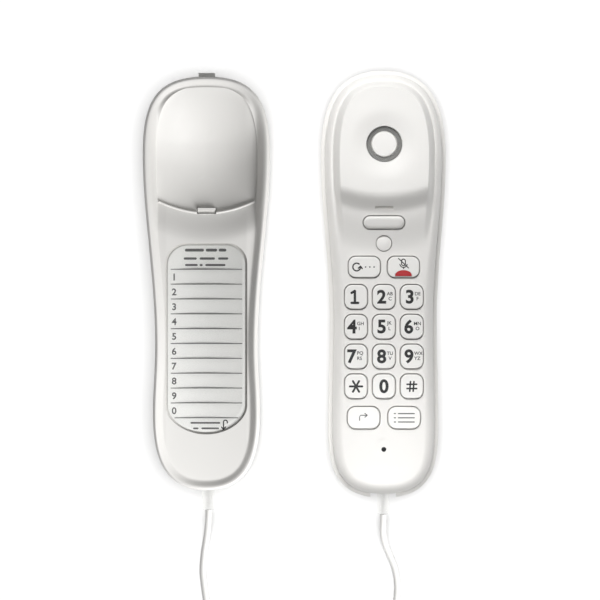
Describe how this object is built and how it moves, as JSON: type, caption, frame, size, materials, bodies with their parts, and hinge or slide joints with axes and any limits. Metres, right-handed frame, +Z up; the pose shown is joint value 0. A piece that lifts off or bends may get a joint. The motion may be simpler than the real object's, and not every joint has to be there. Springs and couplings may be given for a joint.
{
  "type": "slimline wall phone",
  "caption": "Corded slimline wall phone: a narrow cradle with an ear cup and dial list, and its keypad handset lying face up beside it on a curly cord.",
  "frame": {"origin": "on the table, under the middle of the box round the cradle and the handset", "axes": "+X from the cradle to the handset, +Y from the cord end to the ear end, +Z up from the table, out of the keypad"},
  "size_m": [0.1586, 0.3585, 0.035],
  "materials": {
    "shell_white": "satin moulded plastic",
    "key_white": "satin moulded plastic",
    "grey_plastic": "fine matte texture",
    "sound_mesh": "woven sound mesh",
    "black_plastic": "matte",
    "mute_red": "glossy tinted lens",
    "list_card": "ruled printed card",
    "clear_window": "clear glossy",
    "clear_plug": "clear glossy",
    "foot_rubber": "matte",
    "mat_silicone": "matte",
    "circuit_board": "solder resist",
    "steel": "bright zinc",
    "capsule_metal": "satin",
    "cord_vinyl": "soft satin vinyl"
  },
  "bodies": {
    "cradle": {"cradle_top_shell": "shell_white", "cradle_back_plate": "grey_plastic", "rubber_foot_1": "foot_rubber", "rubber_foot_2": "foot_rubber", "rubber_foot_3": "foot_rubber", "rubber_foot_4": "foot_rubber", "plate_screw_1": "steel", "plate_screw_2": "steel", "plate_screw_3": "steel", "dial_list_card": "list_card", "ringer_switch_body": "black_plastic", "cradle_board": "circuit_board", "ringer_sounder": "black_plastic", "ballast_plate": "steel", "line_jack": "black_plastic", "cradle_cord_jack": "black_plastic", "cradle_cord_plug": "clear_plug", "cradle_cord_tail": "cord_vinyl", "curly_cord": "cord_vinyl"},
    "handset": {"handset_back_shell": "shell_white", "handset_front_shell": "shell_white", "earpiece_cap": "shell_white", "earpiece_mesh_ring": "sound_mesh", "receiver_gasket": "foot_rubber", "receiver_capsule": "capsule_metal", "handset_board": "circuit_board", "keypad_membrane": "mat_silicone", "hook_switch_body": "black_plastic", "hook_switch_spring": "steel", "screw_cap": "shell_white", "handset_screw_upper": "steel", "handset_screw_lower_left": "steel", "handset_screw_lower_right": "steel", "microphone_boot": "foot_rubber", "microphone_capsule": "capsule_metal", "handset_cord_jack": "black_plastic", "handset_cord_plug": "clear_plug", "handset_cord_tail": "cord_vinyl"},
    "hook_switch": {"hook_switch_plunger": "shell_white"},
    "list_window": {"dial_list_window": "clear_window"},
    "cradle_hook": {"retaining_hook": "shell_white"},
    "ringer_switch": {"ringer_switch_knob": "grey_plastic"},
    "button_redial": {"key_redial": "key_white"},
    "button_mute": {"key_mute": "key_white", "mute_lens": "mute_red"},
    "button_1": {"key_1": "key_white"},
    "button_2": {"key_2": "key_white"},
    "button_3": {"key_3": "key_white"},
    "button_4": {"key_4": "key_white"},
    "button_5": {"key_5": "key_white"},
    "button_6": {"key_6": "key_white"},
    "button_7": {"key_7": "key_white"},
    "button_8": {"key_8": "key_white"},
    "button_9": {"key_9": "key_white"},
    "button_star": {"key_star": "key_white"},
    "button_0": {"key_0": "key_white"},
    "button_hash": {"key_hash": "key_white"},
    "button_recall": {"key_recall": "key_white"},
    "button_quick_dial": {"key_quick_dial": "key_white"}
  },
  "joints": [
    {"name": "handset_lift", "type": "slide", "parent": "cradle", "child": "handset", "axis": [0, 0, 1], "range_m": [0, 0.1]},
    {"name": "hook_switch_press", "type": "slide", "parent": "handset", "child": "hook_switch", "axis": [0, 0, -1], "range_m": [0, 0.0021], "stiffness_N_per_m": 350, "deforming": ["hook_switch_spring"]},
    {"name": "list_window_lift", "type": "slide", "parent": "cradle", "child": "list_window", "axis": [0, 0, 1], "range_m": [0, 0.03]},
    {"name": "retaining_hook_lift", "type": "slide", "parent": "cradle", "child": "cradle_hook", "axis": [0, 0, 1], "range_m": [0, 0.012]},
    {"name": "ringer_switch_slide", "type": "slide", "parent": "cradle", "child": "ringer_switch", "axis": [1, 0, 0], "range_m": [-0.003, 0.003]},
    {"name": "press_redial", "type": "slide", "parent": "handset", "child": "button_redial", "axis": [0, 0, -1], "range_m": [0, 0.0009], "stiffness_N_per_m": 900},
    {"name": "press_mute", "type": "slide", "parent": "handset", "child": "button_mute", "axis": [0, 0, -1], "range_m": [0, 0.0009], "stiffness_N_per_m": 900},
    {"name": "press_1", "type": "slide", "parent": "handset", "child": "button_1", "axis": [0, 0, -1], "range_m": [0, 0.0009], "stiffness_N_per_m": 900},
    {"name": "press_2", "type": "slide", "parent": "handset", "child": "button_2", "axis": [0, 0, -1], "range_m": [0, 0.0009], "stiffness_N_per_m": 900},
    {"name": "press_3", "type": "slide", "parent": "handset", "child": "button_3", "axis": [0, 0, -1], "range_m": [0, 0.0009], "stiffness_N_per_m": 900},
    {"name": "press_4", "type": "slide", "parent": "handset", "child": "button_4", "axis": [0, 0, -1], "range_m": [0, 0.0009], "stiffness_N_per_m": 900},
    {"name": "press_5", "type": "slide", "parent": "handset", "child": "button_5", "axis": [0, 0, -1], "range_m": [0, 0.0009], "stiffness_N_per_m": 900},
    {"name": "press_6", "type": "slide", "parent": "handset", "child": "button_6", "axis": [0, 0, -1], "range_m": [0, 0.0009], "stiffness_N_per_m": 900},
    {"name": "press_7", "type": "slide", "parent": "handset", "child": "button_7", "axis": [0, 0, -1], "range_m": [0, 0.0009], "stiffness_N_per_m": 900},
    {"name": "press_8", "type": "slide", "parent": "handset", "child": "button_8", "axis": [0, 0, -1], "range_m": [0, 0.0009], "stiffness_N_per_m": 900},
    {"name": "press_9", "type": "slide", "parent": "handset", "child": "button_9", "axis": [0, 0, -1], "range_m": [0, 0.0009], "stiffness_N_per_m": 900},
    {"name": "press_star", "type": "slide", "parent": "handset", "child": "button_star", "axis": [0, 0, -1], "range_m": [0, 0.0009], "stiffness_N_per_m": 900},
    {"name": "press_0", "type": "slide", "parent": "handset", "child": "button_0", "axis": [0, 0, -1], "range_m": [0, 0.0009], "stiffness_N_per_m": 900},
    {"name": "press_hash", "type": "slide", "parent": "handset", "child": "button_hash", "axis": [0, 0, -1], "range_m": [0, 0.0009], "stiffness_N_per_m": 900},
    {"name": "press_recall", "type": "slide", "parent": "handset", "child": "button_recall", "axis": [0, 0, -1], "range_m": [0, 0.0009], "stiffness_N_per_m": 900},
    {"name": "press_quick_dial", "type": "slide", "parent": "handset", "child": "button_quick_dial", "axis": [0, 0, -1], "range_m": [0, 0.0009], "stiffness_N_per_m": 900}
  ]
}
